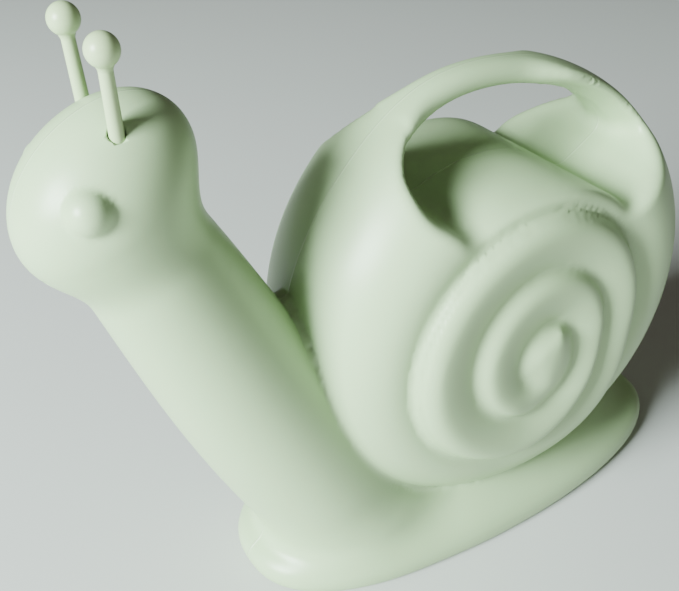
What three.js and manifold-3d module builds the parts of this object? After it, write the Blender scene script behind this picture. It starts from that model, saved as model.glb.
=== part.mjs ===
// Snail-shaped watering can. Units are millimetres, +Z is up, the head looks along -X.
// The body is one hollow blow-moulded piece; two feeler pegs plug into its head.
import * as THREE from 'three';
import { mergeVertices } from 'three/addons/utils/BufferGeometryUtils.js';
import Module from 'manifold-3d';

const WALL = 2.4;

// Foot pad, a rounded oval that the can stands on.
const FOOT_LENGTH = 286;
const FOOT_WIDTH = 118;
const FOOT_THICKNESS = 15;
const FOOT_EDGE_RADIUS = 6;
const FOOT_SQUARENESS = 2.5;
const MOUND = { x: 4, z: 12, length: 236, width: 96, height: 40 };

// Shell, a disc whose axis lies along Y.
const SHELL = { x: 6.6, z: 144, radius: 116.6 };
const SHELL_GROWTH = 13;
const CROWN = { lift: 4.4, angle: 111, spread: 19 };
const COIL_CREST_RADIUS = 71;
const COIL_HALF_WIDTH = 60.5;
const COILS = [
  { radius: 71, outer: 58, crest: 63.5 },
  { radius: 42, outer: 61, crest: 66.5 },
  { radius: 18, outer: 64, crest: 69.5 },
];
const BUTTON_HALF_WIDTH = 70.5;

// Hand window under the carrying handle.
const HANDLE_THICKNESS = 12.2;
const HANDLE_HALF_WIDTH = 9.5;
const FLOOR = { x: 0, z: 134, radius: 79.2 };
const FRONT_POCKET = { floorX: -40, ramp: [-50, 209.3], corner: [-65, 220], topX: -52 };
const REAR_POCKET = { floorX: 52, ramp: [72, 204], corner: [92, 211], topX: 77 };
const WAIST = { x: 10, z: 256, length: 172, depth: 62, height: 92 };

// Neck and head.
const NECK_SPINE = [
  { x: -188, z: 246, radius: 25 },
  { x: -176, z: 213, radius: 30.6 },
  { x: -165.5, z: 188, radius: 31.5 },
  { x: -148.5, z: 154, radius: 37 },
  { x: -127, z: 113, radius: 39.5 },
  { x: -103, z: 74, radius: 42 },
  { x: -78, z: 42, radius: 36 },
  { x: -40, z: 32, radius: 22 },
];
const HEAD = { x: -188, z: 248, length: 90, width: 62, tilt: THREE.MathUtils.degToRad(38.5) };
const EYE = { x: -203, y: 27.5, z: 256, radius: 8.8 };

// Openings.
const FILL_HOLE = { x: -56, z: 213.7, radius: 10, length: 24, tilt: Math.atan2(0.6, 0.8) };
const SPRAY_HOLE_RADIUS = 1.2;
const SPRAY_RING_RADIUS = 8;
const SPRAY_RING_HOLES = 6;
const SPRAY = { x: -222, z: 231, length: 24, tilt: THREE.MathUtils.degToRad(38.5) };

// Feelers, one each side of the head.
const FEELER = {
  rootX: -182.4, rootY: 16.9, rootZ: 266,
  ballX: -183.6, ballY: 20.1, ballZ: 309.8,
  ballRadius: 6.35, topRadius: 2.6, rootRadius: 3.1,
};
const SOCKET = { gap: 0.4, below: 4, above: 26 };

// Mesh fineness, and how far cutting bodies reach past the can.
const RING_STEPS = 44;
const ARCH_STEPS = 10;
const CUT_REACH = 90;

const wasm = await Module();
wasm.setup();

function solid(geometry) {
  const bare = geometry.clone();
  bare.deleteAttribute('normal');
  bare.deleteAttribute('uv');
  const merged = mergeVertices(bare, 1e-4);
  return new wasm.Manifold(new wasm.Mesh({
    numProp: 3,
    vertProperties: new Float32Array(merged.attributes.position.array),
    triVerts: new Uint32Array(merged.index.array),
  }));
}

function toGeometry(body) {
  const mesh = body.getMesh();
  const geometry = new THREE.BufferGeometry();
  geometry.setAttribute('position', new THREE.BufferAttribute(mesh.vertProperties, 3));
  geometry.setIndex(new THREE.BufferAttribute(mesh.triVerts, 1));
  geometry.computeVertexNormals();
  return geometry;
}

function ovalShape(length, width, power, steps) {
  const points = [];
  for (let i = 0; i < steps; i += 1) {
    const angle = (2 * Math.PI * i) / steps;
    const c = Math.cos(angle);
    const s = Math.sin(angle);
    points.push(new THREE.Vector2(
      (length / 2) * Math.sign(c) * Math.abs(c) ** (2 / power),
      (width / 2) * Math.sign(s) * Math.abs(s) ** (2 / power),
    ));
  }
  return new THREE.Shape(points);
}

// The foot pad, drawn in by inset on every side.
function foot(inset) {
  const radius = FOOT_EDGE_RADIUS - inset / 2;
  const shape = ovalShape(
    FOOT_LENGTH - 2 * inset - 2 * radius,
    FOOT_WIDTH - 2 * inset - 2 * radius,
    FOOT_SQUARENESS,
    RING_STEPS,
  );
  const pad = new THREE.ExtrudeGeometry(shape, {
    depth: FOOT_THICKNESS - 2 * inset - 2 * radius,
    bevelSize: radius,
    bevelThickness: radius,
    bevelSegments: 3,
    curveSegments: 1,
  });
  pad.translate(0, 0, inset + radius);
  return solid(pad);
}

// The low rise of the body between foot and shell.
function mound(inset) {
  const whole = new THREE.SphereGeometry(1, 28, 14);
  whole.rotateX(Math.PI / 2);
  whole.scale(MOUND.length / 2 - inset, MOUND.width / 2 - inset, MOUND.height - inset);
  whole.translate(MOUND.x, 0, MOUND.z);
  const floor = new THREE.BoxGeometry(FOOT_LENGTH, FOOT_WIDTH, MOUND.height * 2);
  floor.translate(0, 0, -MOUND.height + inset + 2);
  return solid(whole).subtract(solid(floor));
}

// The carrying handle stands a little proud of the disc at its front.
function crownLift(x, z) {
  const degrees = THREE.MathUtils.radToDeg(Math.atan2(z, x));
  return CROWN.lift * Math.exp(-(((degrees - CROWN.angle) / CROWN.spread) ** 2));
}

// The outer coil grows towards the belly.
function growShell(geometry) {
  const position = geometry.attributes.position;
  for (let i = 0; i < position.count; i += 1) {
    const x = position.getX(i);
    const z = position.getZ(i);
    const reach = Math.hypot(x, z);
    const down = reach > 0 ? (1 - z / reach) / 2 : 0;
    const edge = Math.max(0, reach - COIL_CREST_RADIUS) / (SHELL.radius - COIL_CREST_RADIUS);
    const growth = SHELL_GROWTH * down ** 2 + crownLift(x, z);
    const factor = 1 + (growth / SHELL.radius) * Math.min(1, edge * 2);
    position.setX(i, x * factor);
    position.setZ(i, z * factor);
  }
}

function shellProfile(inset, relief) {
  const half = [new THREE.Vector2(0, BUTTON_HALF_WIDTH - inset)];
  if (relief) {
    for (const coil of [...COILS].reverse()) {
      half.push(new THREE.Vector2(coil.radius - 6, coil.crest));
      half.push(new THREE.Vector2(coil.radius - 1, coil.crest - 2.2));
      half.push(new THREE.Vector2(coil.radius, coil.outer));
    }
  } else {
    half.push(new THREE.Vector2(COIL_CREST_RADIUS / 2, COILS[1].outer - inset));
    half.push(new THREE.Vector2(COIL_CREST_RADIUS, COILS[0].outer - inset));
  }
  const steps = relief ? 11 : 7;
  for (let i = relief ? 1 : 2; i <= steps; i += 1) {
    const angle = (Math.PI / 2) * (1 - i / steps);
    half.push(new THREE.Vector2(
      COIL_CREST_RADIUS + (SHELL.radius - inset - COIL_CREST_RADIUS) * Math.cos(angle),
      (COIL_HALF_WIDTH - inset) * Math.sin(angle),
    ));
  }
  const mirrored = half.slice(0, -1).reverse().map((point) => new THREE.Vector2(point.x, -point.y));
  return [...half, ...mirrored].reverse();
}

function shell(inset, relief, steps) {
  const disc = new THREE.LatheGeometry(shellProfile(inset, relief), steps);
  growShell(disc);
  disc.translate(SHELL.x, 0, SHELL.z);
  return solid(disc);
}

// A closed skin round a curved centre line, with a radius at each point of it.
function loft(spine, inset, around, along) {
  const line = new THREE.CatmullRomCurve3(spine.map((point) => new THREE.Vector3(point.x, 0, point.z)));
  const sizes = new THREE.SplineCurve(spine.map((point, i) => new THREE.Vector2(i, point.radius - inset)));
  const skin = new THREE.SphereGeometry(1, around, along);
  const position = skin.attributes.position;
  const side = new THREE.Vector3(0, 1, 0);
  for (let i = 0; i < position.count; i += 1) {
    const polar = Math.acos(THREE.MathUtils.clamp(position.getY(i), -1, 1));
    const share = polar / Math.PI;
    const centre = line.getPoint(share);
    const tangent = line.getTangent(share);
    const normal = new THREE.Vector3().crossVectors(side, tangent).normalize();
    const closing = Math.min(1, Math.sin(polar) * 2.2);
    const size = sizes.getPoint(share).y * Math.sqrt(1 - (1 - closing) ** 2);
    const turn = Math.atan2(position.getZ(i), position.getX(i));
    centre.addScaledVector(normal, size * Math.cos(turn));
    centre.addScaledVector(side, size * Math.sin(turn));
    position.setXYZ(i, centre.x, centre.y, centre.z);
  }
  return outward(solid(skin), skin);
}

// Turns a solid's faces out if its skin was wound the other way.
function outward(body, skin) {
  if (body.volume() > 0) {
    return body;
  }
  const flipped = skin.clone();
  const index = flipped.index.array;
  for (let i = 0; i < index.length; i += 3) {
    [index[i], index[i + 1]] = [index[i + 1], index[i]];
  }
  return solid(flipped);
}

function head(inset, around, along) {
  const egg = new THREE.SphereGeometry(1, around, along);
  egg.rotateZ(Math.PI / 2);
  egg.scale(HEAD.length / 2 - inset, HEAD.width / 2 - inset, HEAD.width / 2 - inset);
  egg.rotateY(-HEAD.tilt);
  egg.translate(HEAD.x, 0, HEAD.z);
  return solid(egg);
}

function eye(side) {
  const bump = new THREE.SphereGeometry(EYE.radius, 16, 12);
  bump.translate(EYE.x, side * EYE.y, EYE.z);
  return solid(bump);
}

// The hand window, grown by a margin when it keeps the cavity away from the skin.
function handWindow(margin) {
  const under = SHELL.radius - HANDLE_THICKNESS + margin;
  const floor = FLOOR.radius - margin;
  const frontTop = Math.acos((FRONT_POCKET.topX - margin - SHELL.x) / under);
  const rearTop = Math.acos((REAR_POCKET.topX + margin - SHELL.x) / under);
  const frontFloor = Math.acos(FRONT_POCKET.floorX / floor);
  const rearFloor = Math.acos(REAR_POCKET.floorX / floor);
  const [frontX, frontZ] = FRONT_POCKET.corner;
  const [rearX, rearZ] = REAR_POCKET.corner;
  const outline = new THREE.Shape();
  for (let i = 0; i <= ARCH_STEPS; i += 1) {
    const angle = frontTop + ((rearTop - frontTop) * i) / ARCH_STEPS;
    const c = Math.cos(angle);
    const s = Math.sin(angle);
    const reach = under + crownLift(c, s);
    outline[i === 0 ? 'moveTo' : 'lineTo'](SHELL.x + reach * c, SHELL.z + reach * s);
  }
  outline.quadraticCurveTo(rearX + margin, rearZ - margin, REAR_POCKET.ramp[0], REAR_POCKET.ramp[1] - margin);
  outline.absarc(FLOOR.x, FLOOR.z, floor, rearFloor, frontFloor, false);
  outline.lineTo(FRONT_POCKET.ramp[0], FRONT_POCKET.ramp[1] - margin);
  const reach = under + crownLift(Math.cos(frontTop), Math.sin(frontTop));
  outline.quadraticCurveTo(
    frontX - margin, frontZ - margin,
    SHELL.x + reach * Math.cos(frontTop), SHELL.z + reach * Math.sin(frontTop),
  );
  const block = new THREE.ExtrudeGeometry(outline, {
    depth: 2 * CUT_REACH,
    bevelEnabled: false,
    curveSegments: 10,
  });
  block.rotateX(Math.PI / 2);
  block.translate(0, CUT_REACH, 0);
  return solid(block);
}

// Scoops the sides away above the window floor, so the handle narrows from wing to grip.
function waist(side, margin) {
  const scoop = new THREE.SphereGeometry(1, 32, 20);
  scoop.scale(WAIST.length / 2 + margin, WAIST.depth + margin, WAIST.height / 2 + margin);
  scoop.translate(WAIST.x, side * (HANDLE_HALF_WIDTH + WAIST.depth), WAIST.z);
  return solid(scoop);
}

// The opening in the front pocket that takes the water, square to the pocket's slope.
function fillHole() {
  const bore = new THREE.CylinderGeometry(FILL_HOLE.radius, FILL_HOLE.radius, FILL_HOLE.length, 28);
  bore.rotateX(Math.PI / 2);
  bore.rotateY(FILL_HOLE.tilt);
  bore.translate(FILL_HOLE.x, 0, FILL_HOLE.z);
  return solid(bore);
}

function sprayHole(across, up) {
  const bore = new THREE.CylinderGeometry(SPRAY_HOLE_RADIUS, SPRAY_HOLE_RADIUS, SPRAY.length, 8);
  bore.rotateZ(Math.PI / 2);
  bore.translate(0, across, up);
  bore.rotateY(-SPRAY.tilt);
  bore.translate(SPRAY.x, 0, SPRAY.z);
  return solid(bore);
}

// A straight round piece between two points, thinner or thicker along its length.
function taper(from, to, fromRadius, toRadius) {
  const line = new THREE.Vector3().subVectors(to, from);
  const piece = new THREE.CylinderGeometry(toRadius, fromRadius, line.length(), 20);
  piece.applyQuaternion(new THREE.Quaternion().setFromUnitVectors(
    new THREE.Vector3(0, 1, 0),
    line.clone().normalize(),
  ));
  piece.translate((from.x + to.x) / 2, (from.y + to.y) / 2, (from.z + to.z) / 2);
  return solid(piece);
}

const feelerRoot = (side) => new THREE.Vector3(FEELER.rootX, side * FEELER.rootY, FEELER.rootZ);
const feelerBall = (side) => new THREE.Vector3(FEELER.ballX, side * FEELER.ballY, FEELER.ballZ);

function feeler(side) {
  const ball = new THREE.SphereGeometry(FEELER.ballRadius, 24, 18);
  const centre = feelerBall(side);
  ball.translate(centre.x, centre.y, centre.z);
  return taper(feelerRoot(side), centre, FEELER.rootRadius, FEELER.topRadius).add(solid(ball));
}

function socket(side) {
  const root = feelerRoot(side);
  const along = new THREE.Vector3().subVectors(feelerBall(side), root).normalize();
  const low = root.clone().addScaledVector(along, -SOCKET.below);
  const high = root.clone().addScaledVector(along, SOCKET.above);
  const radius = FEELER.rootRadius + SOCKET.gap;
  return taper(low, high, radius, radius);
}

function can() {
  const skin = shell(0, true, RING_STEPS)
    .subtract(handWindow(0))
    .subtract(waist(1, 0))
    .subtract(waist(-1, 0))
    .add(foot(0))
    .add(mound(0))
    .add(loft(NECK_SPINE, 0, 28, 20))
    .add(head(0, 28, 18))
    .add(eye(1))
    .add(eye(-1));
  const cavity = shell(WALL, false, 28)
    .subtract(handWindow(WALL))
    .subtract(waist(1, WALL))
    .subtract(waist(-1, WALL))
    .add(foot(WALL))
    .add(mound(WALL))
    .add(loft(NECK_SPINE, WALL, 16, 14))
    .add(head(WALL, 16, 12));
  let body = skin.subtract(cavity);
  body = body.subtract(fillHole());
  body = body.subtract(sprayHole(0, 0));
  for (let i = 0; i < SPRAY_RING_HOLES; i += 1) {
    const angle = (2 * Math.PI * i) / SPRAY_RING_HOLES;
    body = body.subtract(sprayHole(SPRAY_RING_RADIUS * Math.cos(angle), SPRAY_RING_RADIUS * Math.sin(angle)));
  }
  return body.subtract(socket(1)).subtract(socket(-1));
}

const snail = new THREE.Group();

function place(name, body, colour, roughness) {
  const material = new THREE.MeshStandardMaterial({ color: colour, roughness, metalness: 0 });
  const mesh = new THREE.Mesh(toGeometry(body), material);
  mesh.name = name;
  snail.add(mesh);
}

place('can_body', can(), 0xc3d3b8, 0.42);
place('feeler_left', feeler(1), 0xc0d0b2, 0.4);
place('feeler_right', feeler(-1), 0xc0d0b2, 0.4);

export default snail;
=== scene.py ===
import math

import bpy
import numpy as np
from mathutils import Matrix, Vector


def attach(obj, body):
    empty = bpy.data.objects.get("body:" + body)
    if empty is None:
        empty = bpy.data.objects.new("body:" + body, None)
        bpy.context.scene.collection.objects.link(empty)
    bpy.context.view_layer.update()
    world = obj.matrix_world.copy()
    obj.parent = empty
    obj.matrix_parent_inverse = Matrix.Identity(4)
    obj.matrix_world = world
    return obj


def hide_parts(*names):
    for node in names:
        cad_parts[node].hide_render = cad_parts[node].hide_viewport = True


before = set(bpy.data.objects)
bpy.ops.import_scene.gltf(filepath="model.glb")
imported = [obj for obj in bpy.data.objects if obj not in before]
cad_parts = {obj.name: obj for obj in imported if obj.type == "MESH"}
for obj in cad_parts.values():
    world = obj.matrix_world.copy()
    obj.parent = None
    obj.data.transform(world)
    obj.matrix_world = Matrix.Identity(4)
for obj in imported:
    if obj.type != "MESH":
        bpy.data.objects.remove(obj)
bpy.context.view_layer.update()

bl_info = {
    "name": "Snail Watering Can",
    "version": (1, 0, 0),
    "blender": (4, 5, 0),
    "location": "View3D > Sidebar > Watering Can",
    "description": "Builds a blow-moulded snail watering can on its mechanical frame",
    "category": "Object",
}

MM = 0.001


# Small helpers for distances to a surface, in millimetres. Points are rows of x, y, z.

def soft_min(a, b, width):
    """The nearer of two surfaces, with a fillet that starts width away from their meeting line."""
    h = np.maximum(width - np.abs(a - b), 0) / width
    return np.minimum(a, b) - h * h * width / 4


def soft_max(a, b, width):
    """What two solids share, with the edge between them rounded."""
    return -soft_min(-a, -b, width)


def ease(t):
    """0 below 0, 1 above 1, and a smooth step between."""
    t = np.clip(t, 0, 1)
    return t * t * (3 - 2 * t)


def ellipsoid(p, centre, half):
    """Distance to an ellipsoid whose axes lie along X, Y and Z."""
    q = (p - np.array(centre)) / np.array(half)
    reach = np.sqrt((q * q).sum(1))
    slope = np.sqrt(((q / np.array(half)) ** 2).sum(1)) + 1e-9
    return reach * (reach - 1) / slope


class FootShape:
    """The oval pad that the can stands on, and the low rise of the body above it."""

    length, width, thickness = 286.0, 118.0, 15.0
    edge, squareness = 6.8, 2.5
    rise_centre, rise_half = (2.0, 0.0, 8.0), (122.0, 54.0, 40.0)

    def pad(self, p):
        """A flat oval with a rounded edge."""
        n = self.squareness
        x = np.abs(p[:, 0]) / (self.length / 2)
        y = np.abs(p[:, 1]) / (self.width / 2)
        g = (x ** n + y ** n) ** (1 / n) + 1e-9
        gx = (x / g) ** (n - 1) / (self.length / 2)
        gy = (y / g) ** (n - 1) / (self.width / 2)
        across = (g - 1) / (np.hypot(gx, gy) + 1e-6) + self.edge
        up = np.abs(p[:, 2] - self.thickness / 2) - (self.thickness / 2 - self.edge)
        outside = np.hypot(np.maximum(across, 0), np.maximum(up, 0))
        return np.minimum(np.maximum(across, up), 0) + outside - self.edge

    def rise(self, p):
        """The low swell from which the neck and the shell grow."""
        return ellipsoid(p, self.rise_centre, self.rise_half)


class NeckShape:
    """The neck, a round bar of changing thickness on a curved line, with the head and its eyes."""

    spine = ((-186, 240, 27), (-172, 213, 31), (-161.5, 188, 33), (-146.5, 154, 36.5),
             (-126.5, 113, 39.5), (-106, 72, 42), (-86, 34, 42))
    head_centre, head_half, head_tilt = (-185.5, 0.0, 249.5), (42.5, 31.0, 31.0), math.radians(42)
    eye_centre, eye_radius = (-199.4, 25.2, 254.9), 9.1

    def neck(self, p):
        """Distance to the bar, from the nearest place on its curved line."""
        points = np.array(self.spine, float)
        run = np.r_[0, np.cumsum(np.hypot(np.diff(points[:, 0]), np.diff(points[:, 1])))]
        along = run / run[-1]
        line_x, line_z, size = (np.polyfit(along, points[:, i], 4) for i in range(3))
        step_x, step_z = np.polyder(line_x), np.polyder(line_z)
        marks = np.linspace(0, 1, 24)
        aside, above = p[:, 0:1] - np.polyval(line_x, marks), p[:, 2:3] - np.polyval(line_z, marks)
        t = marks[(aside ** 2 + above ** 2).argmin(1)]
        for _ in range(3):
            ex, ez = p[:, 0] - np.polyval(line_x, t), p[:, 2] - np.polyval(line_z, t)
            dx, dz = np.polyval(step_x, t), np.polyval(step_z, t)
            t = np.clip(t + (ex * dx + ez * dz) / (dx * dx + dz * dz), 0, 1)
        ex, ez = p[:, 0] - np.polyval(line_x, t), p[:, 2] - np.polyval(line_z, t)
        return np.sqrt(ex * ex + p[:, 1] ** 2 + ez * ez) - np.polyval(size, t)

    def head(self, p):
        """An egg that points down and forwards."""
        q = p - np.array(self.head_centre)
        c, s = math.cos(self.head_tilt), math.sin(self.head_tilt)
        turned = np.stack([-(q[:, 0] * c + q[:, 2] * s), q[:, 1], -q[:, 0] * s + q[:, 2] * c], 1)
        return ellipsoid(turned, (0, 0, 0), self.head_half)

    def eyes(self, p):
        """Two balls half sunk in the sides of the head."""
        q = np.stack([p[:, 0], np.abs(p[:, 1]), p[:, 2]], 1) - np.array(self.eye_centre)
        return np.sqrt((q * q).sum(1)) - self.eye_radius


class ShellShape:
    """The coiled shell: a disc with spiral faces, and a hand window that leaves the handle above it."""

    centre, radius, growth = (6.6, 144.0), 116.6, 13.0
    crown_lift, crown_at, crown_spread = 4.4, 111.0, 19.0
    flat_radius, half_width, belly_width = 70.0, 58.0, 3.5
    disc_scale = 45.0
    spiral_centre = (0.0, 134.0)
    face_height, face_drop, face_reach = 59.8, 3.6, 75.0
    face_edge, face_blend = 100.0, 36.0
    # Mean radius of the groove on each turn, how far it sits off centre, and towards which angle.
    rings = ((112.0, 0.0, 0.0), (70.0, 3.8, 168.0), (42.0, 0.8, 150.0), (16.8, 6.6, -63.0))
    coil_height, coil_crest, coil_rise, coil_fall = 5.8, 0.30, 2.4, 1.6
    dip_depth, dip_width, coil_softness = 3.4, 34.0, 1.9
    drop_from, drop_over = 255.0, 100.0
    merge_from, merge_over = 232.0, 50.0
    handle_thickness, handle_half = 12.2, 9.8
    underside_flat, underside_slope = 8.0, 0.5
    floor_radius = 79.8
    # The window's slopes and end walls: a point on each as x and z, then how it leans.
    rear_ramp, rear_ramp_scale = (58.0, 190.0, 0.62), 0.85
    front_ramp, front_ramp_scale = (-47.0, 207.0, -0.75), 0.8
    front_wall = (-62.0, 225.0, 0.10)
    rear_wall, rear_wall_curve, rear_wall_scale = (95.0, 213.0, -0.25), 0.0018, 0.95
    # Where the two wings part from the handle, how fast they spread, and how softly they start.
    wing_front, wing_rear, wing_spread, wing_softness = -40.0, 24.0, 0.36, 8.0
    root_at, root_spread = -50.0, 0.30
    pinch_at, pinch_over, pinch_depth = 40.0, 18.0, 3.0
    waist_trim, waist_base, waist_fillet = 0.7, 216.0, 10.0

    def ring(self, turn, degrees):
        """Radius of the spiral groove if that turn were a closed ring."""
        mean, shift, towards = self.rings[min(turn, 3)]
        return mean + shift * np.cos(np.radians(degrees) - math.radians(towards))

    def groove(self, turn, degrees):
        """Radius of the groove, which steps in to the next ring late in each turn."""
        inward = ease((degrees - self.drop_from) / self.drop_over)
        return self.ring(turn, degrees) * (1 - inward) + self.ring(turn + 1, degrees) * inward

    def coil(self, t):
        """Height across one coil, from its outer groove at 0 to its inner groove at 1."""
        t = np.clip(t, 0, 1)
        up = 1 - np.clip(1 - t / self.coil_crest, 0, 1) ** self.coil_rise
        down = 1 - np.clip((t - self.coil_crest) / (1 - self.coil_crest), 0, 1) ** self.coil_fall
        return self.coil_height * np.where(t < self.coil_crest, up, down)

    def dip(self, distance):
        """The outer coil's fall towards the groove inside it."""
        return -self.dip_depth * np.clip(1 - distance / self.dip_width, 0, 1) ** 3

    def relief(self, x, z):
        """Height of the spiral, softened a little across the grooves."""
        x, z = x - self.spiral_centre[0], z - self.spiral_centre[1]
        r = np.hypot(x, z)
        degrees = np.degrees(np.arctan2(z, x)) % 360
        g = [self.groove(turn, degrees) for turn in range(4)]
        soft = self.coil_softness
        return (self.height(r - soft, degrees, g) + 2 * self.height(r, degrees, g)
                + self.height(r + soft, degrees, g)) / 4

    def height(self, r, degrees, g):
        """Height of the spiral at radius r, where g holds the grooves' radii from the outside in."""
        merge = ease((degrees - self.merge_from) / self.merge_over)
        late = ease((degrees - self.drop_from) / self.drop_over)

        def across(outer, inner):
            return self.coil((outer - r) / np.maximum(outer - inner, 1e-3))

        def button(outer):
            return self.coil(self.coil_crest * np.clip(1 - r / outer, 0, 1))

        apart = np.where(r >= g[3], across(g[2], g[3]), button(g[3]))
        height = apart * (1 - merge) + button(g[2]) * merge
        height = np.where(r >= g[2], across(g[1], g[2]), height)
        outer_coil = self.dip(r - g[1]) * (1 - late) + across(g[0], g[1]) * late
        height = np.where(r >= g[1], outer_coil, height)
        return np.where(r >= g[0], self.dip(r - g[0]) * late, height)

    def rim(self, x, z):
        """Outer radius, grown towards the belly and lifted a little at the front of the handle."""
        down = (1 - z / (np.hypot(x, z) + 1e-9)) / 2
        degrees = np.degrees(np.arctan2(z, x))
        lift = self.crown_lift * np.exp(-((degrees - self.crown_at) / self.crown_spread) ** 2)
        return self.radius + self.growth * down ** 2 + lift

    def disc(self, p, relief=True):
        """The whole shell before the hand window is cut, with or without its spiral."""
        x, z = p[:, 0] - self.centre[0], p[:, 2] - self.centre[1]
        r = np.hypot(x, z) + 1e-9
        half = self.half_width + self.belly_width * ((1 - z / r) / 2) ** 2
        from_spiral = np.hypot(p[:, 0] - self.spiral_centre[0], p[:, 2] - self.spiral_centre[1])
        dome = self.face_height - self.face_drop * np.clip(from_spiral / self.face_reach, 0, 1) ** 2
        raised = (dome - self.half_width) * ease((self.face_edge - from_spiral) / self.face_blend)
        if relief:
            raised = raised + self.relief(p[:, 0], p[:, 2])
        u = np.maximum(r - self.flat_radius, 0) / (self.rim(x, z) - self.flat_radius)
        v = np.maximum(np.abs(p[:, 1]) - raised, 0) / half
        return (np.hypot(u, v) - 1) * self.disc_scale

    def window(self, p):
        """The space for the hand: under the handle, above the arched floor, sloped at each end."""
        x, y, z = p.T
        sx, sz = x - self.centre[0], z - self.centre[1]

        def ramp(at_x, at_z, slope):
            return at_z + slope * (x - at_x) - z

        def wall(at_x, at_z, lean):
            return x - at_x - lean * (z - at_z)

        under = np.hypot(sx, sz) - (self.rim(sx, sz) - self.handle_thickness)
        under = under - np.maximum(np.abs(y) - self.underside_flat, 0) * self.underside_slope
        floor = self.floor_radius - np.hypot(x - self.spiral_centre[0], z - self.spiral_centre[1])
        rear = (wall(*self.rear_wall) + self.rear_wall_curve * y * y) * self.rear_wall_scale
        space = soft_max(under, floor, 5)
        space = soft_max(space, ramp(*self.rear_ramp) * self.rear_ramp_scale, 8)
        space = soft_max(space, ramp(*self.front_ramp) * self.front_ramp_scale, 8)
        space = soft_max(space, -wall(*self.front_wall), 14)
        return soft_max(space, rear, 18)

    def waist(self, p):
        """The space beside the handle, which narrows it between its two wings."""
        x, y, z = p.T

        def wing(run):
            """Half width that a wing adds, and how steeply it grows."""
            bend = np.hypot(run, self.wing_softness)
            return self.wing_spread * (run + bend), self.wing_spread * (1 + run / bend)

        front, front_slope = wing(self.wing_front - x)
        rear, rear_slope = wing(x - self.wing_rear)
        root = np.maximum(self.root_at - x, 0)
        pinch = self.pinch_depth * ease((x - self.pinch_at) / self.pinch_over)
        half = self.handle_half + front + rear + self.root_spread * root ** 2 - self.waist_trim - pinch
        slope = front_slope - rear_slope + 2 * self.root_spread * root
        return soft_max((half - np.abs(y)) / np.hypot(1, slope), self.waist_base - z, self.waist_fillet)

    def solid(self, p, relief=True):
        """The shell with its handle."""
        d = soft_max(self.disc(p, relief), -self.waist(p), 8)
        return soft_max(d, -self.window(p), 7)


class CanShape:
    """The whole moulded skin as one distance."""

    foot, neck, shell = FootShape(), NeckShape(), ShellShape()
    head_fillet, rise_fillet, foot_fillet = 16.0, 30.0, 16.0
    eye_fillet, shell_fillet, sole_edge = 1.2, 2.0, 0.5
    nudge, least_slope = 0.25, 0.35

    def distance(self, p, relief=True):
        d = soft_min(self.neck.neck(p), self.neck.head(p), self.head_fillet)
        d = soft_min(d, self.foot.rise(p), self.rise_fillet)
        d = soft_min(d, self.foot.pad(p), self.foot_fillet)
        d = soft_min(d, self.neck.eyes(p), self.eye_fillet)
        d = soft_min(d, self.shell.solid(p, relief), self.shell_fillet)
        return soft_max(d, -p[:, 2], self.sole_edge)

    def pull(self, p, offset, relief, steps, reach):
        """Moves points onto the skin, or onto the surface that lies offset inside it."""
        for _ in range(steps):
            d = self.distance(p, relief) + offset
            slope = np.empty_like(p)
            for axis in range(3):
                shift = np.zeros(3)
                shift[axis] = self.nudge
                slope[:, axis] = self.distance(p + shift, relief) - self.distance(p - shift, relief)
            slope /= 2 * self.nudge
            size = np.maximum(np.sqrt((slope * slope).sum(1)), self.least_slope)
            p = p - slope * (np.clip(d / size, -reach, reach) / size)[:, None]
        return p


def select_only(obj):
    bpy.ops.object.select_all(action="DESELECT")
    obj.select_set(True)
    bpy.context.view_layer.objects.active = obj


def add_ball(centre, half, turn=0.0):
    """An ellipsoid of 48 by 24 faces, in millimetres."""
    bpy.ops.mesh.primitive_uv_sphere_add(segments=48, ring_count=24, radius=1)
    return settle(bpy.context.object, centre, half, turn)


def add_drum(centre, radius, thickness, side=None):
    """A disc on its edge, or a flat oval when its half width to the side is given."""
    flat = side is not None
    bpy.ops.mesh.primitive_cylinder_add(
        vertices=96, radius=1, depth=1, rotation=(0 if flat else math.pi / 2, 0, 0))
    bpy.ops.object.transform_apply(location=False, rotation=True, scale=False)
    scale = (radius, side, thickness) if flat else (radius, thickness, radius)
    return settle(bpy.context.object, centre, scale, 0.0)


def add_block(low, high):
    """A box from its lowest to its highest corner, in millimetres."""
    bpy.ops.mesh.primitive_cube_add(size=1)
    centre = [(a + b) / 2 for a, b in zip(low, high)]
    return settle(bpy.context.object, centre, [b - a for a, b in zip(low, high)], 0.0)


def settle(obj, centre, scale, turn):
    """Sizes, tilts and places a unit primitive, with its place in its mesh."""
    obj.scale = [s * MM for s in scale]
    obj.rotation_euler = (0, turn, 0)
    obj.location = [c * MM for c in centre]
    select_only(obj)
    bpy.ops.object.transform_apply(location=True, rotation=True, scale=True)
    return obj


def join(objects):
    bpy.ops.object.select_all(action="DESELECT")
    for obj in objects:
        obj.select_set(True)
    bpy.context.view_layer.objects.active = objects[0]
    bpy.ops.object.join()
    return objects[0]


def apply_modifier(obj, kind, **settings):
    select_only(obj)
    modifier = obj.modifiers.new(kind.title(), kind)
    for name, value in settings.items():
        setattr(modifier, name, value)
    bpy.ops.object.modifier_apply(modifier=modifier.name)


def cut(obj, cutters):
    """Takes each cutter out of obj and removes it."""
    for cutter in cutters:
        apply_modifier(obj, "BOOLEAN", operation="DIFFERENCE", object=cutter, solver="EXACT")
        bpy.data.objects.remove(cutter, do_unlink=True)


def remesh(obj, size):
    apply_modifier(obj, "REMESH", mode="VOXEL", voxel_size=size * MM)


def points_of(obj):
    """The mesh's points as rows of x, y, z in millimetres."""
    co = np.empty(len(obj.data.vertices) * 3, np.float32)
    obj.data.vertices.foreach_get("co", co)
    return co.reshape(-1, 3).astype(float) / MM


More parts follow.
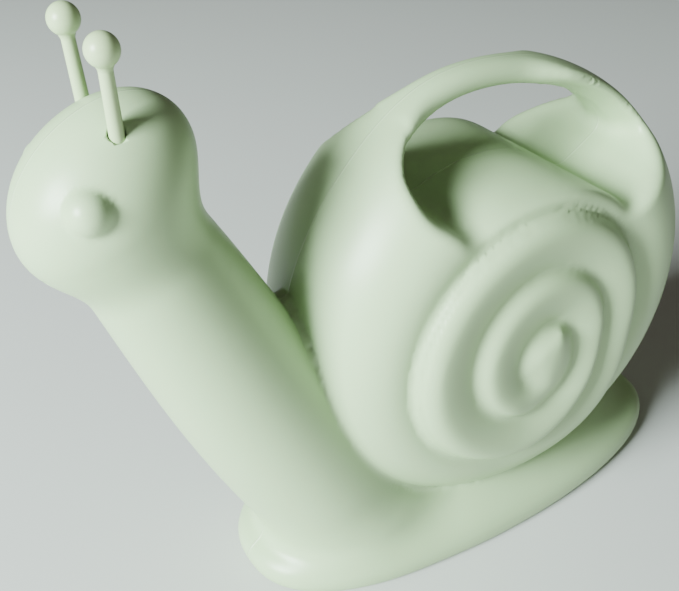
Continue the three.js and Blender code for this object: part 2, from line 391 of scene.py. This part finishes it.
def set_points(obj, p):
    obj.data.vertices.foreach_set("co", (p * MM).astype(np.float32).ravel())
    obj.data.update()


def rough_shell(shell):
    """A plain disc with the hand window and the waist beside the handle cut out of it, as a start."""
    far, below, beside, above = 200, -50, 150, 300
    window_base, window_front, window_rear = 212, -56, 82
    waist_base, waist_front, waist_rear = 222, -46, 44
    middle = (shell.centre[0], 0, shell.centre[1])
    floor_middle = (shell.spiral_centre[0], 0, shell.spiral_centre[1])
    drum = add_drum(middle, shell.radius, 2 * shell.half_width)
    window = add_drum(middle, shell.radius - shell.handle_thickness, 200)
    cut(window, [
        add_drum(floor_middle, shell.floor_radius, 240),
        add_block((-far, -beside, below), (far, beside, window_base)),
        add_block((-far, -beside, below), (window_front, beside, above)),
        add_block((window_rear, -beside, below), (far, beside, above)),
    ])
    cut(drum, [
        window,
        add_block((waist_front, shell.handle_half, waist_base), (waist_rear, beside, above)),
        add_block((waist_front, -beside, waist_base), (waist_rear, -shell.handle_half, above)),
    ])
    return drum


def build_skin(shape, size, offset, relief, start=None):
    """A closed mesh offset millimetres inside the can's skin, with faces about size across.

    It grows from plain primitives, or from a finished skin, which are remeshed and pulled onto the shape."""
    neck, shell, foot = shape.neck, shape.shell, shape.foot
    if start is None:
        parts = [rough_shell(shell)]
        parts += [add_ball((x, 0, z), (r, r, r)) for x, z, r in neck.spine]
        parts.append(add_ball(neck.head_centre, neck.head_half, -neck.head_tilt))
        parts.append(add_drum((0, 0, foot.thickness / 2), foot.length / 2, foot.thickness, foot.width / 2))
        parts.append(add_ball(foot.rise_centre, foot.rise_half))
        skin = join(parts)
        for coarse in (6.0, 5.0, 4.0, 4.0):
            remesh(skin, coarse)
            set_points(skin, shape.pull(points_of(skin), offset, False, 5, 3.0))
    else:
        select_only(start)
        bpy.ops.object.duplicate()
        skin = bpy.context.object
    remesh(skin, size)
    set_points(skin, shape.pull(points_of(skin), offset, relief, 5, 2.0))
    remesh(skin, size)
    set_points(skin, shape.pull(points_of(skin), offset, relief, 6, 1.0))
    select_only(skin)
    bpy.ops.object.mode_set(mode="EDIT")
    bpy.ops.mesh.select_all(action="SELECT")
    bpy.ops.mesh.vertices_smooth(factor=0.5, repeat=4)
    bpy.ops.object.mode_set(mode="OBJECT")
    set_points(skin, shape.pull(points_of(skin), offset, relief, 3, 0.6))
    bpy.ops.object.shade_smooth()
    return skin


class Maths:
    """A shader value that can be added, multiplied and divided like a number."""

    def __init__(self, tree, socket):
        self.tree, self.socket = tree, socket

    def _do(self, operation, *others):
        node = self.tree.nodes.new("ShaderNodeMath")
        node.operation = operation
        for slot, value in zip(node.inputs, (self, *others)):
            if isinstance(value, Maths):
                self.tree.links.new(value.socket, slot)
            else:
                slot.default_value = value
        return Maths(self.tree, node.outputs[0])

    def __add__(self, other):
        return self._do("ADD", other)

    __radd__ = __add__

    def __mul__(self, other):
        return self._do("MULTIPLY", other)

    __rmul__ = __mul__

    def __sub__(self, other):
        return self._do("SUBTRACT", other)

    def __rsub__(self, other):
        return (self * -1.0) + other

    def __truediv__(self, other):
        return self._do("DIVIDE", other)

    def __abs__(self):
        return self._do("ABSOLUTE")

    def clamp(self):
        return self._do("MINIMUM", 1.0)._do("MAXIMUM", 0.0)


class Recipe:
    """Builds one procedural material."""

    def __init__(self, name):
        self.material = bpy.data.materials.new(name)
        self.material.use_nodes = True
        self.tree = self.material.node_tree
        self.tree.nodes.clear()
        self.output = self.node("ShaderNodeOutputMaterial")
        self.shader = self.node("ShaderNodeBsdfPrincipled")
        self.link(self.shader.outputs["BSDF"], self.output.inputs["Surface"])
        self.place = self.node("ShaderNodeTexCoord").outputs["Object"]

    def node(self, kind, settings=None, inputs=None):
        made = self.tree.nodes.new(kind)
        for name, value in (settings or {}).items():
            setattr(made, name, value)
        for name, value in (inputs or {}).items():
            self.feed(made.inputs[name], value)
        return made

    def feed(self, socket, value):
        if isinstance(value, Maths):
            self.link(value.socket, socket)
        elif isinstance(value, bpy.types.NodeSocket):
            self.link(value, socket)
        else:
            socket.default_value = value

    def link(self, start, end):
        self.tree.links.new(start, end)

    def value(self, socket):
        return Maths(self.tree, socket)

    def noise(self, scale, detail=2.0, roughness=0.5):
        made = self.node("ShaderNodeTexNoise", inputs={
            "Vector": self.place, "Scale": scale, "Detail": detail, "Roughness": roughness})
        return self.value(made.outputs["Fac"])

    def axis(self, name):
        split = self.node("ShaderNodeSeparateXYZ", inputs={"Vector": self.place})
        return self.value(split.outputs[name])

    def mix(self, amount, first, second):
        made = self.node("ShaderNodeMix", {"data_type": "RGBA"})
        self.feed(made.inputs["Factor"], amount)
        self.feed(made.inputs["A"], first)
        self.feed(made.inputs["B"], second)
        return made.outputs["Result"]

    def bump(self, height, distance, strength=1.0, below=None):
        inputs = {"Height": height, "Distance": distance, "Strength": strength}
        if below is not None:
            inputs["Normal"] = below
        return self.node("ShaderNodeBump", inputs=inputs).outputs["Normal"]


def moulded_plastic(name, light, dark, roughness, parting):
    """Pale satin plastic with a slow waviness, a fine grain and, on the body, a raised parting line."""
    recipe = Recipe(name)
    line_half_width = 0.0007
    slow = recipe.noise(9.0, 3.0)
    fine = recipe.noise(1400.0, 2.0, 0.6)
    cloud = recipe.noise(38.0, 2.0)
    tint = recipe.mix((slow * 0.6 + cloud * 0.4), dark, light)
    line = (1.0 - abs(recipe.axis("Y")) / line_half_width).clamp()
    if parting:
        tint = recipe.mix(line * 0.25, tint, (0.70, 0.77, 0.60, 1.0))
    recipe.feed(recipe.shader.inputs["Base Color"], tint)
    recipe.feed(recipe.shader.inputs["Roughness"], slow * 0.06 + fine * 0.05 + (roughness - 0.055))
    normal = recipe.bump(cloud, 0.0006, 0.25)
    normal = recipe.bump(fine, 0.00004, 0.5, normal)
    if parting:
        normal = recipe.bump(line, 0.00022, 1.0, normal)
    recipe.feed(recipe.shader.inputs["Normal"], normal)
    recipe.shader.inputs["IOR"].default_value = 1.5
    recipe.shader.inputs["Specular IOR Level"].default_value = 0.42
    return recipe.material


def dress(obj, material):
    """Gives a piece its one material."""
    obj.data.materials.clear()
    obj.data.materials.append(material)


def shade_property(name, description, default):
    """A colour that the user can change."""
    return bpy.props.FloatVectorProperty(
        name=name, description=description, default=default, size=4, min=0, max=1, subtype="COLOR")


class BodySettings(bpy.types.PropertyGroup):
    mesh_size: bpy.props.FloatProperty(
        name="Mesh size", description="Size of the skin's faces in millimetres", default=2.05, min=1.5, max=6)
    wall: bpy.props.FloatProperty(
        name="Wall", description="Thickness of the moulded wall in millimetres", default=2.4, min=1, max=4)
    spray_holes: bpy.props.IntProperty(
        name="Spray holes", description="Holes in the ring round the middle one", default=6, min=3, max=12)
    roughness: bpy.props.FloatProperty(
        name="Roughness", description="How matt the plastic is", default=0.36, min=0, max=1, subtype="FACTOR")
    light_shade: shade_property("Light shade", "Colour of the lighter clouds", (0.46, 0.61, 0.35, 1.0))
    dark_shade: shade_property("Dark shade", "Colour of the darker clouds", (0.42, 0.57, 0.31, 1.0))


class FeelerSettings(bpy.types.PropertyGroup):
    ball: bpy.props.FloatProperty(
        name="Ball", description="Radius of the ball tip in millimetres", default=6.3, min=3, max=9)
    roughness: bpy.props.FloatProperty(
        name="Roughness", description="How matt the plastic is", default=0.34, min=0, max=1, subtype="FACTOR")
    light_shade: shade_property("Light shade", "Colour of the lighter clouds", (0.49, 0.62, 0.34, 1.0))
    dark_shade: shade_property("Dark shade", "Colour of the darker clouds", (0.45, 0.58, 0.30, 1.0))


class StageSettings(bpy.types.PropertyGroup):
    key: bpy.props.FloatProperty(
        name="Key light", description="Power of the large soft light in watts", default=240, min=0, max=600)
    fill: bpy.props.FloatProperty(
        name="Fill light", description="Power of the fill light in watts", default=1.0, min=0, max=200)
    sky: bpy.props.FloatProperty(
        name="Sky", description="Strength of the even surrounding light", default=0.09, min=0, max=5)


class SNAIL_OT_body(bpy.types.Operator):
    """Build the hollow moulded body"""

    bl_idname = "snail.body"
    bl_label = "Body"

    def execute(self, context):
        settings = context.scene.snail_body
        shape = CanShape()
        size = settings.mesh_size * 1.0
        skin = build_skin(shape, size, 0.0, True)
        inside = build_skin(shape, size * 2, settings.wall, False, skin)
        select_only(inside)
        bpy.ops.object.mode_set(mode="EDIT")
        bpy.ops.mesh.select_all(action="SELECT")
        bpy.ops.mesh.flip_normals()
        bpy.ops.object.mode_set(mode="OBJECT")
        skin = join([skin, inside])
        skin.name = "moulded_body"
        cut(skin, self.drills(settings))
        select_only(skin)
        bpy.ops.object.shade_smooth()
        material = moulded_plastic("sage_body_plastic", tuple(settings.light_shade),
                                   tuple(settings.dark_shade), settings.roughness, True)
        dress(skin, material)
        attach(skin, "can")
        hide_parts("can_body")
        return {"FINISHED"}

    def drills(self, settings):
        """Cutters for the fill hole, the spray holes and the two feeler sockets."""
        fill_centre, fill_axis = Vector((-56, 0, 213.7)), Vector((0.6, 0, 0.8))
        fill_radius, fill_depth = 10, 24
        snout_reach, spray_ring, spray_radius, spray_depth = 42, 8, 1.2, 26
        socket_shift, socket_radius, socket_depth = 8, 3.5, 30
        cutters = [self.drill(fill_centre, fill_axis, fill_radius, fill_depth, 48)]
        tilt = NeckShape.head_tilt
        ahead = Vector((-math.cos(tilt), 0, -math.sin(tilt)))
        up = Vector((-math.sin(tilt), 0, math.cos(tilt)))
        mouth = Vector(NeckShape.head_centre) + ahead * snout_reach
        cutters.append(self.drill(mouth, ahead, spray_radius, spray_depth, 16))
        for i in range(settings.spray_holes):
            angle = math.tau * i / settings.spray_holes
            offset = Vector((0, 1, 0)) * (spray_ring * math.cos(angle)) + up * (spray_ring * math.sin(angle))
            cutters.append(self.drill(mouth + offset, ahead, spray_radius, spray_depth, 16))
        for side in (1, -1):
            foot, tip = feeler_line(side)
            middle = foot + (tip - foot).normalized() * socket_shift
            cutters.append(self.drill(middle, tip - foot, socket_radius, socket_depth, 32))
        return cutters

    def drill(self, centre, axis, radius, length, steps):
        """A round cutter centred on a point, in millimetres."""
        turn = axis.to_track_quat("Z", "Y").to_euler()
        bpy.ops.mesh.primitive_cylinder_add(
            vertices=steps, radius=radius * MM, depth=length * MM, location=centre * MM, rotation=turn)
        bpy.ops.object.transform_apply(location=True, rotation=True, scale=True)
        return bpy.context.object


def feeler_line(side):
    """Root and ball centre of the feeler on that side, in millimetres."""
    return Vector((-182.4, side * 16.9, 266.0)), Vector((-183.6, side * 20.1, 309.8))


class SNAIL_OT_feelers(bpy.types.Operator):
    """Build the two plug-in feelers"""

    bl_idname = "snail.feelers"
    bl_label = "Feelers"

    def execute(self, context):
        settings = context.scene.snail_feelers
        material = moulded_plastic("sage_feeler_plastic", tuple(settings.light_shade),
                                   tuple(settings.dark_shade), settings.roughness, False)
        for side, name in ((1, "left"), (-1, "right")):
            root, tip = feeler_line(side)
            peg = self.peg(settings, (tip - root).length)
            turn = (tip - root).to_track_quat("Z", "Y").to_matrix().to_4x4()
            peg.data.transform(Matrix.Translation(root * MM) @ turn)
            peg.name = "feeler_" + name + "_peg"
            dress(peg, material)
            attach(peg, "feeler_peg_" + name)
            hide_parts("feeler_" + name)
        return {"FINISHED"}

    def peg(self, settings, length):
        """A ball on a tapered stem, spun from its outline round the Z axis."""
        ball = settings.ball
        top, bottom, foot_round = 2.7, 3.0, 0.5
        blend_height, blend_width, ball_overlap = 2.2, 0.75, 1.28
        stem_steps, blend_steps, ball_steps = 14, 6, 32
        neck = math.asin(top / ball)
        outline = [(0.0, 0.0), (bottom - foot_round, 0.0)]
        outline += [(bottom - 0.3 * foot_round, 0.3 * foot_round), (bottom, foot_round)]
        blend_start = length - ball * math.cos(neck) - blend_height
        for i in range(1, stem_steps + 1):
            t = i / stem_steps
            outline.append((bottom + (top - bottom) * t, foot_round + (blend_start - foot_round) * t))
        for i in range(1, blend_steps):
            t = i / blend_steps
            outline.append((top + blend_width * t ** 2.5, blend_start + blend_height * t))
        first = math.pi - neck * ball_overlap
        for i in range(ball_steps + 1):
            angle = first * (1 - i / ball_steps)
            outline.append((ball * math.sin(angle), length + ball * math.cos(angle)))
        outline[-1] = (0.0, length + ball)
        mesh = bpy.data.meshes.new("peg")
        points = [(r * MM, 0, h * MM) for r, h in outline]
        mesh.from_pydata(points, [(i, i + 1) for i in range(len(points) - 1)], [])
        peg = bpy.data.objects.new("peg", mesh)
        bpy.context.collection.objects.link(peg)
        select_only(peg)
        bpy.ops.object.mode_set(mode="EDIT")
        bpy.ops.mesh.select_all(action="SELECT")
        bpy.ops.mesh.spin(steps=48, angle=math.tau, center=(0, 0, 0), axis=(0, 0, 1))
        bpy.ops.mesh.select_all(action="SELECT")
        bpy.ops.mesh.remove_doubles(threshold=1e-6)
        bpy.ops.mesh.normals_make_consistent(inside=False)
        bpy.ops.object.mode_set(mode="OBJECT")
        bpy.ops.object.shade_smooth()
        return peg


class SNAIL_OT_stage(bpy.types.Operator):
    """Set the floor, the lights and the camera"""

    bl_idname = "snail.stage"
    bl_label = "Stage"

    floor_size, floor_drop = 8.0, 0.0002
    key_size, key_place, key_colour = 0.85, (-2.12, -0.36, 1.08), (0.86, 1.0, 0.985)
    fill_size, fill_place, fill_colour = 1.2, (-0.1, -1.3, 0.9), (0.95, 0.98, 1.0)
    lamp_aim, sky_colour = (-0.03, 0, 0.13), (1.0, 0.95, 0.78, 1)
    camera_place, camera_lens = (-0.2738, -0.3159, 0.4139), 48.58
    camera_azimuth, camera_elevation, camera_roll = -31.48, 34.48, -1.18

    def execute(self, context):
        settings = context.scene.snail_stage
        scene = context.scene
        bpy.ops.mesh.primitive_plane_add(size=self.floor_size, location=(0, 0, -self.floor_drop))
        floor = context.object
        floor.name = "studio_floor"
        recipe = Recipe("pale_floor")
        cloud = recipe.noise(3.0, 2.0)
        recipe.feed(recipe.shader.inputs["Base Color"], recipe.mix(
            cloud, (0.56, 0.56, 0.54, 1.0), (0.59, 0.59, 0.57, 1.0)))
        recipe.shader.inputs["Roughness"].default_value = 0.9
        floor.data.materials.append(recipe.material)
        self.lamp("key", settings.key, self.key_size, self.key_place, self.key_colour)
        self.lamp("front", settings.fill, self.fill_size, self.fill_place, self.fill_colour)
        world = bpy.data.worlds.new("soft_sky")
        world.use_nodes = True
        background = world.node_tree.nodes["Background"]
        background.inputs["Color"].default_value = self.sky_colour
        background.inputs["Strength"].default_value = settings.sky
        scene.world = world
        self.camera(scene)
        return {"FINISHED"}

    def lamp(self, name, power, size, place, colour):
        light = bpy.data.lights.new(name, "AREA")
        light.energy, light.size, light.color = power, size, colour
        lamp = bpy.data.objects.new(name, light)
        lamp.location = place
        aim = Vector(self.lamp_aim) - Vector(place)
        lamp.rotation_euler = aim.to_track_quat("-Z", "Y").to_euler()
        bpy.context.collection.objects.link(lamp)

    def camera(self, scene):
        angles = (self.camera_azimuth, self.camera_elevation, self.camera_roll)
        azimuth, elevation, roll = (math.radians(v) for v in angles)
        back = Vector((math.sin(azimuth) * math.cos(elevation),
                       -math.cos(azimuth) * math.cos(elevation), math.sin(elevation)))
        right = Vector((math.cos(azimuth), math.sin(azimuth), 0))
        up = back.cross(right)
        tilted_right = right * math.cos(roll) + up * math.sin(roll)
        tilted_up = up * math.cos(roll) - right * math.sin(roll)
        data = bpy.data.cameras.new("camera")
        data.sensor_width, data.lens = 36.0, self.camera_lens
        data.clip_start, data.clip_end = 0.02, 20.0
        camera = bpy.data.objects.new("camera", data)
        turn = Matrix((tilted_right, tilted_up, back)).transposed().to_4x4()
        camera.matrix_world = Matrix.Translation(self.camera_place) @ turn
        bpy.context.collection.objects.link(camera)
        scene.camera = camera


class SNAIL_PT_panel(bpy.types.Panel):
    """Settings and build buttons"""

    bl_label = "Snail Watering Can"
    bl_idname = "SNAIL_PT_panel"
    bl_space_type = "VIEW_3D"
    bl_region_type = "UI"
    bl_category = "Watering Can"

    def draw(self, context):
        groups = (
            (context.scene.snail_body, "snail.body"),
            (context.scene.snail_feelers, "snail.feelers"),
            (context.scene.snail_stage, "snail.stage"),
        )
        for settings, operator in groups:
            box = self.layout.box()
            for name in settings.__annotations__:
                box.prop(settings, name)
            box.operator(operator)


CLASSES = (
    BodySettings, FeelerSettings, StageSettings,
    SNAIL_OT_body, SNAIL_OT_feelers, SNAIL_OT_stage, SNAIL_PT_panel,
)


def register():
    for cls in CLASSES:
        bpy.utils.register_class(cls)
    bpy.types.Scene.snail_body = bpy.props.PointerProperty(type=BodySettings)
    bpy.types.Scene.snail_feelers = bpy.props.PointerProperty(type=FeelerSettings)
    bpy.types.Scene.snail_stage = bpy.props.PointerProperty(type=StageSettings)


def unregister():
    del bpy.types.Scene.snail_stage, bpy.types.Scene.snail_feelers, bpy.types.Scene.snail_body
    for cls in reversed(CLASSES):
        bpy.utils.unregister_class(cls)


def main():
    register()
    bpy.ops.snail.body()
    bpy.ops.snail.feelers()
    bpy.ops.snail.stage()


if __name__ == "__main__":
    main()
